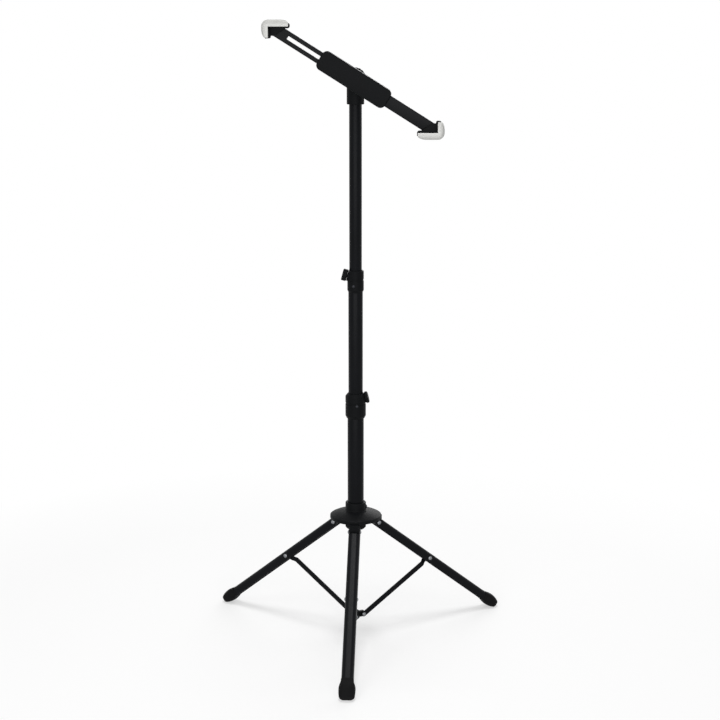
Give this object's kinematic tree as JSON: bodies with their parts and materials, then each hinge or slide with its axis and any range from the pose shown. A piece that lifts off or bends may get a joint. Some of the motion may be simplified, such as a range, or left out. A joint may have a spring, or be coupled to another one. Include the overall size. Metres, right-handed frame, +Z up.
{
  "type": "adjustable tablet floor stand",
  "caption": "Folding tripod floor stand with a telescopic mast and a ball-jointed holder that grips a tablet by two opposite corners.",
  "frame": {"origin": "the middle of the footprint's box, on the floor", "axes": "+Z up along the mast, -Y towards the front leg and the side that the holder faces"},
  "size_m": [0.4606, 0.4021, 0.9551],
  "materials": {
    "powder_black": "satin powder coat",
    "moulded_black": "fine moulded texture",
    "rubber_black": "matte",
    "bright_steel": "bright zinc",
    "pad_grey": "soft silicone"
  },
  "bodies": {
    "stand": {"tripod_hub": "moulded_black", "hub_screw": "bright_steel", "leg_rivets": "bright_steel", "lower_tube": "powder_black", "lower_collar": "moulded_black", "lower_collar_rivet": "bright_steel"},
    "lower_knob": {"lower_knob": "moulded_black"},
    "leg_front": {"leg_front": "powder_black", "foot_front": "rubber_black", "strut_pin_front": "bright_steel"},
    "strut_front": {"strut_front": "powder_black", "strut_end_front": "bright_steel"},
    "leg_right": {"leg_right": "powder_black", "foot_right": "rubber_black", "strut_pin_right": "bright_steel"},
    "strut_right": {"strut_right": "powder_black", "strut_end_right": "bright_steel"},
    "leg_left": {"leg_left": "powder_black", "foot_left": "rubber_black", "strut_pin_left": "bright_steel"},
    "strut_left": {"strut_left": "powder_black", "strut_end_left": "bright_steel"},
    "spreader": {"spreader": "moulded_black", "spreader_rivets": "bright_steel"},
    "middle": {"middle_tube": "powder_black", "middle_bush": "moulded_black", "middle_collar": "moulded_black", "middle_collar_rivet": "bright_steel"},
    "middle_knob": {"middle_knob": "moulded_black"},
    "upper": {"upper_tube": "powder_black", "upper_bush": "moulded_black"},
    "head": {"mast_head": "moulded_black"},
    "head_knob": {"head_knob": "moulded_black"},
    "lock_ring": {"lock_ring": "moulded_black"},
    "ball_stud": {"ball_stud": "bright_steel"},
    "holder": {"swivel_plate": "moulded_black", "swivel_screws": "bright_steel", "holder_body": "moulded_black", "holder_cover": "moulded_black", "holder_screws": "bright_steel", "fixed_arm": "powder_black", "claw_base_lower": "moulded_black", "claw_screws_lower": "bright_steel", "claw_pad_lower": "pad_grey"},
    "slide_arm": {"slide_arm": "powder_black", "claw_base_upper": "moulded_black", "claw_screws_upper": "bright_steel", "claw_pad_upper": "pad_grey"},
    "arm_knob": {"arm_knob": "moulded_black"}
  },
  "joints": [
    {"name": "leg_front_fold", "type": "hinge", "parent": "stand", "child": "leg_front", "pos_m": [0, 0.0255, 0.18], "axis": [1, 0, 0], "range_deg": [0, 51]},
    {"name": "strut_front_fold", "type": "hinge", "parent": "leg_front", "child": "strut_front", "pos_m": [0, -0.06751, 0.10577], "axis": [1, 0, 0], "range_deg": [-99.23, 0]},
    {"name": "leg_right_fold", "type": "hinge", "parent": "stand", "child": "leg_right", "pos_m": [0.03204, 0.081, 0.18], "axis": [-0.5, 0.866, 0], "range_deg": [0, 51]},
    {"name": "strut_right_fold", "type": "hinge", "parent": "leg_right", "child": "strut_right", "pos_m": [0.11259, 0.1275, 0.10577], "axis": [-0.5, 0.866, 0], "range_deg": [-99.23, 0]},
    {"name": "leg_left_fold", "type": "hinge", "parent": "stand", "child": "leg_left", "pos_m": [-0.03204, 0.081, 0.18], "axis": [-0.5, -0.866, 0], "range_deg": [0, 51]},
    {"name": "strut_left_fold", "type": "hinge", "parent": "leg_left", "child": "strut_left", "pos_m": [-0.11259, 0.1275, 0.10577], "axis": [-0.5, -0.866, 0], "range_deg": [-99.23, 0]},
    {"name": "spreader_level", "type": "hinge", "parent": "strut_front", "child": "spreader", "pos_m": [0, 0.0505, 0.03044], "axis": [1, 0, 0], "range_deg": [0, 48.23]},
    {"name": "middle_slide", "type": "slide", "parent": "stand", "child": "middle", "axis": [0, 0, 1], "range_m": [-0.15, 0.01]},
    {"name": "upper_slide", "type": "slide", "parent": "middle", "child": "upper", "axis": [0, 0, 1], "range_m": [-0.175, 0.01]},
    {"name": "lower_knob_turn", "type": "hinge", "parent": "stand", "child": "lower_knob", "pos_m": [0, 0.0625, 0.3815], "axis": [0.9659, 0, 0.2588], "range_deg": [0, 360]},
    {"name": "middle_knob_turn", "type": "hinge", "parent": "middle", "child": "middle_knob", "pos_m": [0, 0.0625, 0.572], "axis": [-0.9659, 0, 0.2588], "range_deg": [0, 360]},
    {"name": "head_pan", "type": "hinge", "parent": "upper", "child": "head", "pos_m": [0, 0.0625, 0.832], "axis": [0, 0, 1], "range_deg": [-180, 180]},
    {"name": "head_knob_turn", "type": "hinge", "parent": "head", "child": "head_knob", "pos_m": [0, 0.0625, 0.84], "axis": [0, 1, 0], "range_deg": [0, 360]},
    {"name": "lock_ring_turn", "type": "hinge", "parent": "head", "child": "lock_ring", "pos_m": [0, 0.0445, 0.87], "axis": [0, -1, 0], "range_deg": [0, 90]},
    {"name": "ball_tilt", "type": "hinge", "parent": "head", "child": "ball_stud", "pos_m": [0, 0.0445, 0.87], "axis": [1, 0, 0], "range_deg": [-30, 30]},
    {"name": "holder_spin", "type": "hinge", "parent": "ball_stud", "child": "holder", "pos_m": [0, 0.0445, 0.87], "axis": [0, -1, 0], "range_deg": [-180, 180]},
    {"name": "arm_slide", "type": "slide", "parent": "holder", "child": "slide_arm", "axis": [-0.849, 0, 0.5285], "range_m": [-0.06, 0.012]},
    {"name": "arm_knob_turn", "type": "hinge", "parent": "holder", "child": "arm_knob", "pos_m": [-0.04245, 0.0265, 0.89642], "axis": [0, 1, 0], "range_deg": [0, 360]}
  ],
  "couplings": [
    {"joint": "strut_front_fold", "follows": "leg_front_fold", "ratio": -1.926},
    {"joint": "leg_right_fold", "follows": "leg_front_fold", "ratio": 1},
    {"joint": "strut_right_fold", "follows": "leg_front_fold", "ratio": -1.926},
    {"joint": "leg_left_fold", "follows": "leg_front_fold", "ratio": 1},
    {"joint": "strut_left_fold", "follows": "leg_front_fold", "ratio": -1.926},
    {"joint": "spreader_level", "follows": "leg_front_fold", "ratio": 0.926}
  ]
}
